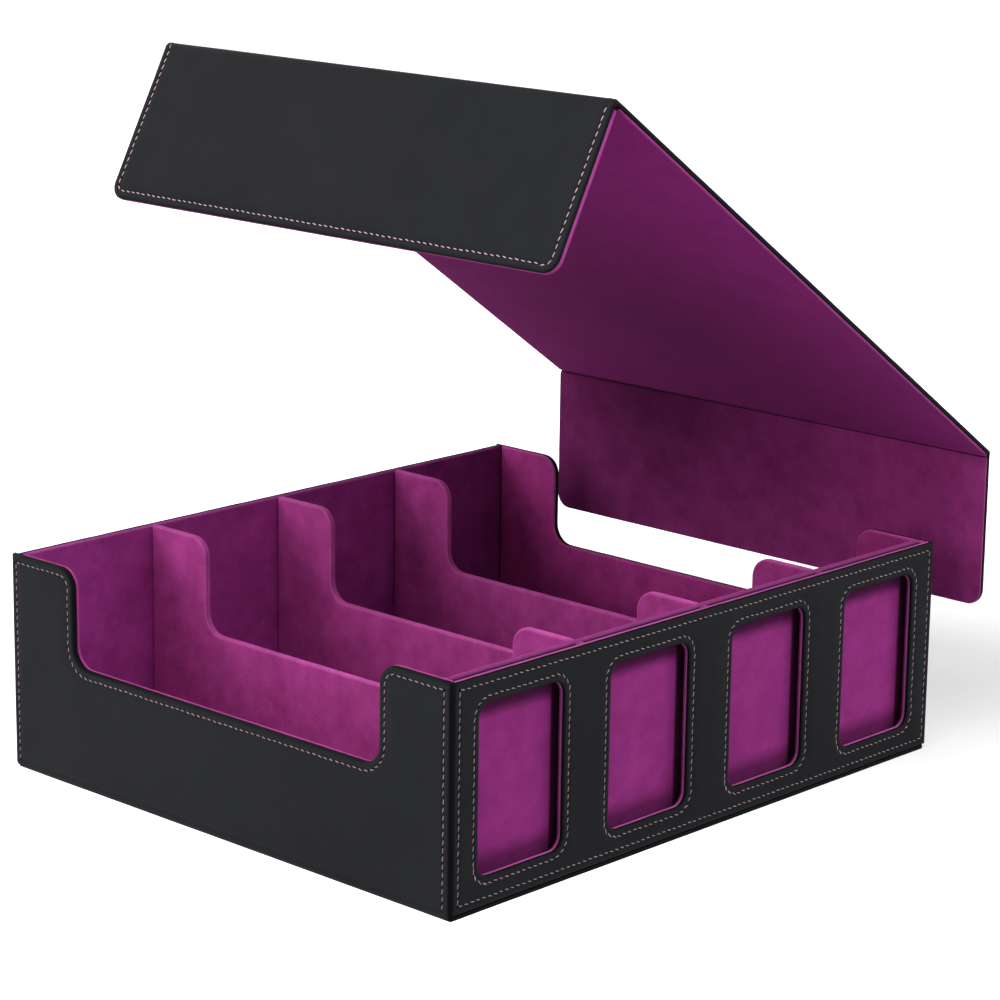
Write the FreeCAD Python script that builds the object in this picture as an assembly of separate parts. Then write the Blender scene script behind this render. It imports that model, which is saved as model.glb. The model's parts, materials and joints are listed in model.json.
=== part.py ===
import FreeCAD, Part
import math
import os

# Four-row card storage box with a windowed front and a lift-off saddle lid.
# Millimetres, +Z up, the box front faces -Y. Built from the front left bottom
# corner; save() moves every piece so that the middle of the base is the origin.

V = FreeCAD.Vector

# ---- box, overall ----
WIDTH = 350.0
DEPTH = 302.5
HEIGHT = 110.0

# ---- sheet goods ----
LEATHER = 0.8
VELVET = 1.0
LINER = 0.8
WALL_BOARD = 3.2
BASE_SHEET = 1.2
FLOOR_BOARD = 3.0
FRAME_BOARD = 2.2
INNER_BOARD = 1.9
DIVIDER_BOARD = 2.4
DIVIDER_PITCH = 87.0

WALL = LEATHER + WALL_BOARD + VELVET
FRAME = LEATHER + FRAME_BOARD + VELVET
INNER = LINER + INNER_BOARD + LINER
DIVIDER = LINER + DIVIDER_BOARD + LINER

# ---- windows in the front frame ----
ROWS = 4
WINDOW_X = 17.3
WINDOW_Z = 16.5
WINDOW_WIDTH = 54.8
WINDOW_HEIGHT = 80.0
WINDOW_PITCH = 86.65
WINDOW_CORNER = 6.5

# ---- card slot behind the windows ----
SLOT = 2.8
SILL_TOP = 12.0

# ---- dip shared by the side walls and the dividers ----
HUMP = 46.0
DIP_Z = 61.5
HUMP_CORNER = 10.0
DIP_CORNER = 10.5
FOOT_CORNER = 4.0

# ---- magnets ----
MAGNET_R = 7.5
MAGNET_THICK = 1.8
MAGNET_Z = 46.0
MAGNET_INSET = 75.0

# ---- lid ----
SHELL = LEATHER + FRAME_BOARD + VELVET
LID_LENGTH = 292.6
LID_CLEAR = 0.4
LID_SEAT = 0.3
FLAP_DROP = 77.6
FLAP_CORNER = 8.0
CREASE_R = SHELL / 2
CREASE_GAP = 0.3
VELVET_RELIEF = 1.5

# ---- lid as it stands, taken off ----
LIFT_X = 28.06
LIFT_Y = -13.98
LIFT_Z = 39.71
TILT = 34.66
FLAP_INNER_ANGLE = 83.1

# ---- derived stations ----
SLOT_Y = FRAME
INNER_Y = FRAME + SLOT
BAY_Y = INNER_Y + INNER
BACK_Y = DEPTH - WALL
FLOOR_Z = BASE_SHEET + FLOOR_BOARD
LINED_Z = FLOOR_Z + VELVET
LID_SPAN = WIDTH + 2 * LID_CLEAR + SHELL
BOARD_START = CREASE_R + CREASE_GAP
AXIS_X = WIDTH + LID_CLEAR + CREASE_R + LIFT_X
AXIS_Z = HEIGHT + LID_SEAT + CREASE_R + LIFT_Z
LID_Y = (DEPTH - LID_LENGTH) / 2 + LIFT_Y
LEAN = TILT - (90.0 - FLAP_INNER_ANGLE)


def save(name, shape):
    """Write one node, moved so that the middle of the base is the origin."""
    placed = shape.copy()
    placed.translate(V(-WIDTH / 2, -DEPTH / 2, 0))
    placed.exportStep("parts/" + name + ".step")


def block(x0, x1, y0, y1, z0, z1):
    """Box between two corners."""
    return Part.makeBox(x1 - x0, y1 - y0, z1 - z0, V(x0, y0, z0))


def outline(points, place):
    """Face with corners (u, v, radius); place turns (u, v) into a vector."""
    count = len(points)
    starts = []
    ends = []
    mids = []
    for i in range(count):
        u, v, r = points[i]
        pu, pv, pr = points[i - 1]
        nu, nv, nr = points[(i + 1) % count]
        a = V(pu - u, pv - v, 0).normalize()
        b = V(nu - u, nv - v, 0).normalize()
        if r <= 0:
            starts.append(V(u, v, 0))
            ends.append(V(u, v, 0))
            mids.append(None)
            continue
        half = a.getAngle(b) / 2
        run = r / math.tan(half)
        bisector = (a + b).normalize()
        corner = V(u, v, 0)
        centre = corner + bisector * (r / math.sin(half))
        starts.append(corner + a * run)
        ends.append(corner + b * run)
        mids.append(centre - bisector * r)
    edges = []
    for i in range(count):
        if mids[i] is not None:
            arc = Part.Arc(place(starts[i]), place(mids[i]), place(ends[i]))
            edges.append(arc.toShape())
        after = starts[(i + 1) % count]
        if (after - ends[i]).Length > 1e-6:
            edges.append(Part.LineSegment(place(ends[i]), place(after)).toShape())
    return Part.Face(Part.Wire(edges))


def side_plate(points, x0, x1):
    """Plate standing across X, its outline given in (y, z)."""
    face = outline(points, lambda p: V(x0, p.x, p.y))
    return face.extrude(V(x1 - x0, 0, 0))


def front_plate(points, y0, y1):
    """Plate standing across Y, its outline given in (x, z)."""
    face = outline(points, lambda p: V(p.x, y0, p.y))
    return face.extrude(V(0, y1 - y0, 0))


def dipped(y0, y1, z0, front_foot, back_foot):
    """Outline of a wall with the hand dip: humps at the front and the back."""
    return [
        (y0, z0, front_foot),
        (y1, z0, back_foot),
        (y1, HEIGHT, 0),
        (DEPTH - HUMP, HEIGHT, HUMP_CORNER),
        (DEPTH - HUMP, DIP_Z, DIP_CORNER),
        (HUMP, DIP_Z, DIP_CORNER),
        (HUMP, HEIGHT, HUMP_CORNER),
        (y0, HEIGHT, 0),
    ]


def disc(x, y, z, thickness):
    """Magnet disc lying against an X face."""
    return Part.makeCylinder(MAGNET_R, thickness, V(x, y, z), V(1, 0, 0))


def magnet_stations():
    """The two places along the depth that carry a magnet."""
    return [MAGNET_INSET, DEPTH - MAGNET_INSET]


def mirror_x(shape):
    """The same piece on the right-hand side."""
    return shape.mirror(V(WIDTH / 2, 0, 0), V(1, 0, 0))


# ---------------- box ----------------

def wall_magnets():
    """Left wall magnets, set into the outer face of the board."""
    discs = []
    for y in magnet_stations():
        discs.append(disc(LEATHER, y, MAGNET_Z, MAGNET_THICK))
    return discs


def left_wall():
    """Leather, board and velvet of the left wall."""
    shape = dipped(FRAME, DEPTH, BASE_SHEET, 0, FOOT_CORNER)
    leather = side_plate(shape, 0, LEATHER)
    board = side_plate(shape, LEATHER, LEATHER + WALL_BOARD)
    for magnet in wall_magnets():
        board = board.cut(magnet)
    lining = dipped(BAY_Y, BACK_Y, LINED_Z, 0, 0)
    velvet = side_plate(lining, WALL - VELVET, WALL)
    ledge = block(LEATHER + WALL_BOARD, WALL, FRAME, DEPTH, BASE_SHEET, LINED_Z)
    front_end = block(LEATHER + WALL_BOARD, WALL, FRAME, BAY_Y, LINED_Z, HEIGHT)
    back_end = block(LEATHER + WALL_BOARD, WALL, BACK_Y, DEPTH, LINED_Z, HEIGHT)
    board = board.fuse([ledge.cut(foot_cutter()), front_end, back_end]).removeSplitter()
    return leather, board, velvet


def foot_cutter():
    """Space outside the rounded rear foot of a side wall."""
    corner = [
        (DEPTH - FOOT_CORNER, 0, 0),
        (DEPTH + 1, 0, 0),
        (DEPTH + 1, LINED_Z + 1, 0),
        (DEPTH - FOOT_CORNER, LINED_Z + 1, 0),
    ]
    return side_plate(corner, 0, WALL)


def back_wall():
    """Leather, board and velvet between the side walls."""
    leather = block(WALL, WIDTH - WALL, DEPTH - LEATHER, DEPTH, BASE_SHEET, HEIGHT)
    board = block(WALL, WIDTH - WALL, BACK_Y + VELVET, DEPTH - LEATHER, BASE_SHEET, HEIGHT)
    velvet = block(WALL, WIDTH - WALL, BACK_Y, BACK_Y + VELVET, LINED_Z, HEIGHT)
    foot = block(WALL, WIDTH - WALL, BACK_Y, BACK_Y + VELVET, BASE_SHEET, LINED_Z)
    return leather, board.fuse(foot).removeSplitter(), velvet


def inner_front():
    """Board behind the card slot, with velvet on both faces."""
    x0 = WALL
    x1 = WIDTH - WALL
    face = block(x0, x1, INNER_Y, INNER_Y + LINER, FLOOR_Z, HEIGHT)
    board = block(x0, x1, INNER_Y + LINER, BAY_Y - LINER, FLOOR_Z, HEIGHT)
    lining = block(x0, x1, BAY_Y - LINER, BAY_Y, FLOOR_Z, HEIGHT)
    return face, board, lining


def windows(y0, y1):
    """The four window openings as solids."""
    openings = []
    for row in range(ROWS):
        x0 = WINDOW_X + row * WINDOW_PITCH
        x1 = x0 + WINDOW_WIDTH
        z1 = WINDOW_Z + WINDOW_HEIGHT
        corners = [
            (x0, WINDOW_Z, WINDOW_CORNER),
            (x1, WINDOW_Z, WINDOW_CORNER),
            (x1, z1, WINDOW_CORNER),
            (x0, z1, WINDOW_CORNER),
        ]
        openings.append(front_plate(corners, y0, y1))
    return openings


def front_frame():
    """Windowed front panel: leather face, board, velvet back."""
    corners = [
        (0, BASE_SHEET, FOOT_CORNER),
        (WIDTH, BASE_SHEET, FOOT_CORNER),
        (WIDTH, HEIGHT, 0),
        (0, HEIGHT, 0),
    ]
    layers = []
    y = 0.0
    for thickness in [LEATHER, FRAME_BOARD, VELVET]:
        plate = front_plate(corners, y, y + thickness)
        for opening in windows(y - 1, y + thickness + 1):
            plate = plate.cut(opening)
        layers.append(plate)
        y = y + thickness
    return layers


def slot_strips():
    """Strips that hold the front frame off the inner front wall."""
    uprights = []
    for i in range(1, ROWS):
        x = divider_x(i)
        uprights.append(block(x, x + DIVIDER, SLOT_Y, INNER_Y, SILL_TOP, HEIGHT))
    sill = block(WALL, WIDTH - WALL, SLOT_Y, INNER_Y, FLOOR_Z, SILL_TOP)
    return sill, Part.makeCompound(uprights)


def base():
    """Base cover, floor board and floor velvet."""
    cover = block(0.5, WIDTH - 0.5, 0.5, DEPTH - 0.5, 0, BASE_SHEET)
    board = block(WALL, WIDTH - WALL, FRAME, BACK_Y, BASE_SHEET, FLOOR_Z)
    velvet = block(WALL, WIDTH - WALL, BAY_Y, BACK_Y, FLOOR_Z, LINED_Z)
    return cover, board, velvet


def divider_x(i):
    """Left face of divider number i, counted from 1."""
    return WIDTH / 2 + (i - ROWS / 2) * DIVIDER_PITCH - DIVIDER / 2


def divider(i):
    """Board and velvet sleeve of one divider."""
    x = divider_x(i)
    shape = dipped(BAY_Y, BACK_Y, LINED_Z, 0, 0)
    board = side_plate(shape, x + LINER, x + LINER + DIVIDER_BOARD)
    left = side_plate(shape, x, x + LINER)
    right = side_plate(shape, x + LINER + DIVIDER_BOARD, x + DIVIDER)
    return board, Part.makeCompound([left, right])


# ---------------- lid ----------------

def turned(shape, angle, x, z):
    """Shape turned about a line along Y through (x, z)."""
    result = shape.copy()
    result.rotate(V(x, 0, z), V(0, 1, 0), angle)
    return result


def panel_layer(n0, n1, u0, u1):
    """Flat layer of the lid top, u measured from the right crease."""
    return block(-u1, -u0, 0, LID_LENGTH, n0, n1)


def flap_layer(n0, n1, start):
    """Hanging layer of a flap, outer face towards -X, crease line at the origin."""
    corners = [
        (0, -start, 0),
        (0, -BOARD_START - FLAP_DROP, FLAP_CORNER),
        (LID_LENGTH, -BOARD_START - FLAP_DROP, FLAP_CORNER),
        (LID_LENGTH, -start, 0),
    ]
    return side_plate(corners, n0, n1)


def flap_magnets():
    """Discs at the heights of the wall magnets when the lid is on."""
    drop = MAGNET_Z - (HEIGHT + LID_SEAT + CREASE_R)
    inner = CREASE_R - VELVET
    discs = []
    for y in magnet_stations():
        station = y - (DEPTH - LID_LENGTH) / 2
        discs.append(disc(inner - MAGNET_THICK, station, drop, MAGNET_THICK))
    return discs


def flap():
    """Leather, board, velvet and magnets of a left flap, hanging plumb."""
    outer = -CREASE_R
    leather = flap_layer(outer, outer + LEATHER, BOARD_START)
    board = flap_layer(outer + LEATHER, CREASE_R - VELVET, BOARD_START)
    velvet = flap_layer(CREASE_R - VELVET, CREASE_R, BOARD_START + VELVET_RELIEF)
    magnets = flap_magnets()
    for magnet in magnets:
        board = board.cut(magnet)
    return leather, board, velvet, Part.makeCompound(magnets)


def top():
    """Leather, board and velvet of the lid top, right crease at the origin."""
    end = LID_SPAN - BOARD_START
    leather = panel_layer(CREASE_R - LEATHER, CREASE_R, BOARD_START, end)
    board = panel_layer(VELVET - CREASE_R, CREASE_R - LEATHER, BOARD_START, end)
    start = BOARD_START + VELVET_RELIEF
    velvet = panel_layer(-CREASE_R, VELVET - CREASE_R, start, LID_SPAN - start)
    return leather, board, velvet


def crease(angle):
    """Leather and velvet halves of a fold, the leather half facing the angle."""
    rod = Part.makeCylinder(CREASE_R, LID_LENGTH, V(0, 0, 0), V(0, 1, 0))
    outer = rod.common(block(-9, 9, -1, LID_LENGTH + 1, 0, 9))
    inner = rod.common(block(-9, 9, -1, LID_LENGTH + 1, -9, 0))
    return turned(outer, angle, 0, 0), turned(inner, angle, 0, 0)


def at_right(shape):
    """Move a lid piece built about the origin to the right crease."""
    moved = shape.copy()
    moved.translate(V(AXIS_X, LID_Y, AXIS_Z))
    return moved


def at_left(shape):
    """Move a lid piece built about the origin to the left crease."""
    tilt = math.radians(TILT)
    moved = at_right(shape)
    moved.translate(V(-LID_SPAN * math.cos(tilt), 0, LID_SPAN * math.sin(tilt)))
    return moved


def build_box():
    left = left_wall()
    for part, shape in zip(["leather", "board", "velvet"], left):
        save("left_wall_" + part, shape)
        save("right_wall_" + part, mirror_x(shape))
    discs = wall_magnets()
    save("left_wall_magnets", Part.makeCompound(discs))
    save("right_wall_magnets", mirror_x(Part.makeCompound(discs)))
    for part, shape in zip(["leather", "board", "velvet"], back_wall()):
        save("back_wall_" + part, shape)
    for part, shape in zip(["face_velvet", "board", "velvet"], inner_front()):
        save("inner_front_" + part, shape)
    for part, shape in zip(["leather", "board", "velvet"], front_frame()):
        save("front_frame_" + part, shape)
    for part, shape in zip(["sill", "uprights"], slot_strips()):
        save("slot_" + part, shape)
    for part, shape in zip(["base_cover", "floor_board", "floor_velvet"], base()):
        save(part, shape)
    for i in range(1, ROWS):
        board, sleeve = divider(i)
        save("divider_%d_board" % i, board)
        save("divider_%d_velvet" % i, sleeve)


def build_lid():
    names = ["leather", "board", "velvet", "magnets"]
    for part, shape in zip(names, flap()):
        save("left_flap_" + part, at_left(turned(shape, LEAN, 0, 0)))
        facing = shape.mirror(V(0, 0, 0), V(1, 0, 0))
        save("right_flap_" + part, at_right(facing))
    for part, shape in zip(names, top()):
        save("lid_top_" + part, at_right(turned(shape, TILT, 0, 0)))
    right = crease(90.0 - (90.0 - TILT) / 2)
    left = crease((TILT + LEAN - 90.0) / 2)
    for part, on_right, on_left in zip(["leather", "velvet"], right, left):
        save("right_crease_" + part, at_right(on_right))
        save("left_crease_" + part, at_left(on_left))


os.makedirs("parts", exist_ok=True)
build_box()
build_lid()
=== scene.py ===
import json
import math

import bmesh
import bpy
from mathutils import Matrix, Vector, noise


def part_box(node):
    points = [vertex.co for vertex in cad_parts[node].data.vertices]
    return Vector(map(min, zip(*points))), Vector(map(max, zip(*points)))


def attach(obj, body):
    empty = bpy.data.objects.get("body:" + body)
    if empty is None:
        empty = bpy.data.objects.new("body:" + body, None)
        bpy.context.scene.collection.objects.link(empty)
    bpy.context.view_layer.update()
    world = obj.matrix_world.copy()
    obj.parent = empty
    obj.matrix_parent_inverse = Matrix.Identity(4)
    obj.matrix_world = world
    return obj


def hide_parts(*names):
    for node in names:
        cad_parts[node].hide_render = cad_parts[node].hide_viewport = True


# Finish of a card storage box: leatherette outside, velvet inside, sewn edges.
# Lengths are in millimetres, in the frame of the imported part, up to the last step.

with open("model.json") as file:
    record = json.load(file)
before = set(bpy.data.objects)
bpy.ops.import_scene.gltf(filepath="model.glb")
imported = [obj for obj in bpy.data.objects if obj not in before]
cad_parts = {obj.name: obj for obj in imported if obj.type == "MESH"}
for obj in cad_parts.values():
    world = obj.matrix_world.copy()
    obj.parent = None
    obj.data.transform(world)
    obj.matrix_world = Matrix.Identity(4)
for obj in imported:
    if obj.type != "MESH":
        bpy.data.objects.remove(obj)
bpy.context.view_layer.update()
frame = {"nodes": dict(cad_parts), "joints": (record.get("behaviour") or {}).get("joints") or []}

MM = 0.001


def span(node):
    """Lowest and highest corner of a CAD node, in millimetres."""
    low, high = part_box(node)
    return low / MM, high / MM


def joint_place(name):
    """Where a hinge lies, in millimetres."""
    for joint in frame["joints"]:
        if joint["name"] == name:
            return Vector(joint["pos_m"]) / MM
    raise ValueError(name)


# ---------------------------------------------------------------- sizes

panel_low, panel_high = span("front_frame_leather")
wall_high = span("left_wall_leather")[1]
lining_high = span("left_wall_velvet")[1]
bay_high = span("inner_front_velvet")[1]
slot_low, slot_high = span("slot_sill")
lid_low, lid_high = span("lid_top_leather")

LEFT = panel_low.x
RIGHT = panel_high.x
FRONT = panel_low.y
BACK = wall_high.y
TOP = panel_high.z
WALL = lining_high.x - LEFT
FRAME = slot_low.y - FRONT
SLOT = slot_high.y - slot_low.y
BAY_FRONT = bay_high.y
BAY_BACK = BACK - WALL
FLOOR_TOP = span("floor_velvet")[1].z

# base, and where the walls start above the table
BASE_TOP = 1.9
BASE_INSET = 1.0
BASE_CORNER = 1.0
BASE_ROUND = 0.7
BASE_EASE = 2.0
PANEL_FOOT = 2.7
WALL_FOOT = 0.4
HEEL = 3.0

# how the coverings meet: insets, gaps, and ends tucked under a neighbour
TUCK = 1.0
CORNER_GAP = 0.15
PANEL_SIDE = 0.5
WALL_START = 1.5
WALL_OVER = 0.6
STRIP_OVER = 0.4
STRIP_DROP = 0.7

# side walls and dividers share one dipped outline
HUMP = 46.0
DIP_Z = 61.5
HUMP_CORNER = 10.0
DIP_CORNER = 10.5

# windows of the front panel, and the dividers behind it
DIVIDERS = (1, 2, 3)
WINDOWS = 4
WINDOW_X = 17.3
WINDOW_Z = 16.5
WINDOW_WIDTH = 54.8
WINDOW_HEIGHT = 80.0
WINDOW_PITCH = 86.65
WINDOW_CORNER = 6.5

# where leather ends and velvet begins, counted from the outer face
WALL_SEAM = 3.0
PANEL_SEAM = 1.6
TOP_SEAM = 2.7
LEFT_FLAP_SEAM = 1.4
RIGHT_FLAP_SEAM = 3.2

# edges: the turn of the leather and the depth at which its painted edge shade is darkest, the valley of
# the seam and the roll of the velvet
EDGE_ROUND = 1.5
DARK_DEPTH = 0.7
LIP = 0.5
SEAM_REACH = 3.0
ROLL = 1.3
ROLL_SHARE = 0.35
ROLL_START = 0.45
ROLL_CREST = 0.6
ROLL_EASE = 1.0

# how far from the edge a profile leaves the flat face
FACE = 6.0
PANEL_FACE = 4.0
BASE_FACE = 8.0
FLOOR_FACE = 3.0

# share of a divider's edge at which it is sewn, and how far the ends of an edge stay without the lighter
# edge of worn pile and painted highlight
SLEEVE_SEAM = 0.4
CALM = 2.5

# stitching: places, pitch, and the thread's length, shares of it, thickness, channel and slant
STITCH_INSET = 3.9
WINDOW_STITCH = 3.5
STITCH_PITCH = 3.7
DASH = 2.9
SHORTEST = 0.92
LONGEST = 1.06
THREAD = 0.48
THREAD_FLAT = 0.8
NEEDLE_HOLE = 0.6
GROOVE = 0.22
CHANNEL = ((1.3, 0.0), (0.65, 0.6), (0.0, 1.0), (-0.65, 0.6), (-1.3, 0.0))
THREAD_DEPTH = 0.1
SLANT = math.radians(-10)
SLANT_SPREAD = 0.07

# lid: its boards, the ends of its coverings round the folds, and the folds themselves
LID_SHELL = 4.0
LID_R = LID_SHELL / 2
FLAP_CORNER = 8.0
LINING_CORNER = 0.8
FLAP_LEAN = 27.76
FLAP_END = 79.9
LID_FRONT = lid_low.y
LID_BACK = lid_high.y
LID_WRAP = 7.0
LID_TAPER = 0.22
THINNEST = 0.1
RIGHT_LINING_START = 1.8
LEFT_LINING_START = 2.7
RIGHT_VALLEY = 1.92
LEFT_VALLEY = 1.1
VALLEY_INSET = 0.6
FOLD_OVER = 0.01
FOLD_END = 0.3
FOLD_STITCH = 1.6
FOLD_CUTS = (6.0, 2.5, 1.0, 0.0, -0.5, -1.0, -1.5, -2.2, -3.0, -4.5)
FOLD_STEPS = 16
FOLD_RINGS = 72
RIGHT_CREASE = joint_place("right_crease_open")
LEFT_CREASE = joint_place("left_crease_square")

# painted shadow in the slot behind the windows, by height, by depth and by the way past a window's side
SILL_LOW = 20.0
SILL_HIGH = 27.0
HEAD_LOW = 86.0
HEAD_HIGH = 91.0
SLOT_SHADOW_FADE = TOP - 10.0
SLOT_SHADOW_END = TOP - 8.0
SLOT_FACE = BAY_FRONT - 2.9
SLOT_FACE_END = BAY_FRONT - 2.4
SIDE_START = 2.7
SIDE_SOFT = 1.8
SIDE_FADE = 26.0
SIDE_END = 28.0

# Painted light and shade: a colour grows darker or lighter along a slope or around a spot. A slope is a
# direction, two places along it and the share of the colour at each. A spot is a centre, two distances
# from it and the share of the colour at each, in metres.
ACROSS = (1, 0, 0)
BACKWARDS = (0, 1, 0)
UPWARDS = (0, 0, 1)
# painted shade: the back wall's velvet darker towards the right, where the lid and the right wall keep
# light off it
BACK_SHADE_SLOPE = (ACROSS, 0.0, 170.0, 1.0, 0.5)
# painted light and shade: the lid's leather lighter at its front and darker towards its back
LID_LEATHER_SHADE_SLOPE = (BACKWARDS, -150.0, 130.0, 1.0, 0.6)
# painted shade: the panel's velvet darker behind its front edge, down into the slot
PANEL_SHADE_SLOPE = (BACKWARDS, FRONT + 2.5, FRONT + 3.2, 1.0, 0.25)
# painted shade: the leather near black in the corner where the left wall meets the panel
CORNER_SHADE_SLOPE = ((1, 1, 0), LEFT + FRONT + 1.8, LEFT + FRONT + 2.6, 0.0, 1.0)
# painted light and shade: the lid's velvet and the right flap's velvet each darkest at a spot and lighter
# away from it
LID_SHADE_SPOT = ((0.124, -0.020, 0.214), 0.0, 0.26, 0.42, 1.0)
FLAP_SHADE_SPOT = ((0.221, 0.060, 0.165), 0.0, 0.16, 0.15, 1.0)
BLACK = (0.0, 0.0, 0.0, 1.0)
WHITE = (1.0, 1.0, 1.0, 1.0)

# glow of the floor to the eye: it grows with the distance from a place beside the box, in metres
GLOW_FROM = (0.30, -0.06, 0.0)
GLOW_NEAR = 0.04
GLOW_FAR = 0.45
GLOW_LOW = 0.13
FLOOR_SIZE = 8.0

# even light from all round, on surfaces
SKY_LIGHT = (0.04, 0.04, 0.04, 1.0)

# soft square lamps: name, place and width in metres, power in watts
LAMPS = (
    ("left", (-2.3, 0.1, 0.7), 1.2, 15.0),
    ("front", (0.0, -2.4, 0.9), 1.2, 11.0),
    ("front_right", (1.7, -1.6, 1.2), 1.2, 40.0),
    ("back_left", (-1.6, 1.3, 1.5), 1.2, 26.0),
    ("back", (0.3, 2.3, 1.2), 1.2, 22.0),
    ("above_left", (-1.2, -0.2, 2.0), 1.4, 23.0),
    ("above_front", (0.2, -1.6, 1.9), 0.9, 27.0),
)
LAMP_AIM = (0.0, 0.0, 0.12)

# camera: place and lens in millimetres, angles in degrees, clipping in metres
CAMERA_AT = (-1154.3, -1096.3, 531.8)
CAMERA_AZIMUTH = -46.8234
CAMERA_ELEVATION = 14.0155
CAMERA_ROLL = 0.7931
CAMERA_LENS = 118.9
SENSOR = 36.0
CLIP_START = 0.05
CLIP_END = 50.0

# mesh fineness, in millimetres, as a share of the grid or as a count
GRID = 9.0
GRID_START = 0.37
RUN_STEP = 7.0
ARC_STEPS = 8
MERGE = 0.001
CUT_MERGE = 0.01
ON_LEVEL = 1e-4
NO_RADIUS = 1e-6

# unevenness of handwork: sag of the faces over long waves, waves of the edges, and the seeds that
# make every run alike
SAG = 0.06
SAG_WAVE = 26.0
EDGE_SWING = 0.10
EDGE_WAVE = 9.0
LID_SEED = 20.0
NOISE_SEED = 3


# ---------------------------------------------------------------- node maths

class Value:
    """A link in a node tree; arithmetic on it adds Math nodes."""

    def __init__(self, nodes, socket):
        self.nodes = nodes
        self.socket = socket

    def maths(self, operation, *terms):
        return self.nodes.node("ShaderNodeMath", terms, operation=operation)

    def __add__(self, other):
        return self.maths("ADD", self, other)

    def __sub__(self, other):
        return self.maths("SUBTRACT", self, other)

    def __rsub__(self, other):
        return self.maths("SUBTRACT", other, self)

    def __mul__(self, other):
        return self.maths("MULTIPLY", self, other)

    def __mod__(self, other):
        return self.maths("FLOORED_MODULO", self, other)

    __radd__ = __add__
    __rmul__ = __mul__


class Nodes:
    """A node tree, with one way to add any node to it."""

    def __init__(self, tree):
        self.tree = tree

    def node(self, kind, inputs=(), output=0, **settings):
        """Adds a node: its settings first, then its sockets, by order or by name."""
        made = self.tree.nodes.new(kind)
        for key, value in settings.items():
            setattr(made, key, value)
        named = inputs.items() if isinstance(inputs, dict) else enumerate(inputs)
        for key, value in named:
            self.feed(made.inputs[key], value)
        return Value(self, made.outputs[output])

    def feed(self, socket, value):
        """Links a value to a socket, or sets the socket to a plain one."""
        if isinstance(value, Value):
            self.tree.links.new(value.socket, socket)
        else:
            socket.default_value = value

    def blend(self, factor, first, second):
        """Mix of two colours."""
        inputs = {0: factor, 6: first, 7: second}
        return self.node("ShaderNodeMix", inputs, output=2, data_type="RGBA")

    def seen(self):
        """1 for what the eye meets, straight, in a gloss or through something clear; else 0."""
        straight = self.node("ShaderNodeLightPath", output="Is Camera Ray")
        gloss = self.node("ShaderNodeLightPath", output="Is Glossy Ray")
        through = self.node("ShaderNodeLightPath", output="Is Transmission Ray")
        return straight + gloss + through


class Finish(Nodes):
    """One material, with short ways to the nodes it needs."""

    def __init__(self, name):
        self.material = bpy.data.materials.new(name)
        self.material.use_nodes = True
        super().__init__(self.material.node_tree)
        self.surface = self.tree.nodes["Principled BSDF"]
        self.place = self.node("ShaderNodeTexCoord", output="Object")

    def surface_is(self, **values):
        """Feeds the surface shader; an underscore stands for a space."""
        for key, value in values.items():
            self.feed(self.surface.inputs[key.replace("_", " ")], value)

    def cloud(self, scale, detail=2.0, rough=0.5):
        """Soft noise about 0.5, finer with a greater scale."""
        inputs = {"Vector": self.place, "Scale": scale, "Detail": detail, "Roughness": rough}
        return self.node("ShaderNodeTexNoise", inputs)

    def ranged(self, value, low, high, out_low=0.0, out_high=1.0):
        """Brings one range of a value to another and holds it there."""
        return self.node("ShaderNodeMapRange", (value, low, high, out_low, out_high))

    def along(self, direction):
        """How far a point lies along a direction, in metres."""
        inputs = (self.place, direction)
        return self.node("ShaderNodeVectorMath", inputs, output="Value", operation="DOT_PRODUCT")

    def slope(self, direction, low, high, out_low, out_high):
        """Even change along a direction, between two places on it in millimetres."""
        return self.ranged(self.along(direction), low * MM, high * MM, out_low, out_high)

    def around(self, centre, near, far, out_near, out_far):
        """Even change with the distance from a centre; all in metres."""
        inputs = (self.place, centre)
        away = self.node("ShaderNodeVectorMath", inputs, output="Value", operation="DISTANCE")
        return self.ranged(away, near, far, out_near, out_far)

    def attribute(self, name):
        """A number that the mesh holds at its points."""
        return self.node("ShaderNodeAttribute", output="Fac", attribute_name=name)

    def relief(self, height, depth, strength=1.0, under=None):
        """Bump of a depth in metres, on top of another one."""
        inputs = {"Height": height, "Distance": depth, "Strength": strength}
        if under:
            inputs["Normal"] = under
        return self.node("ShaderNodeBump", inputs)


# ---------------------------------------------------------------- finishes

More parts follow.
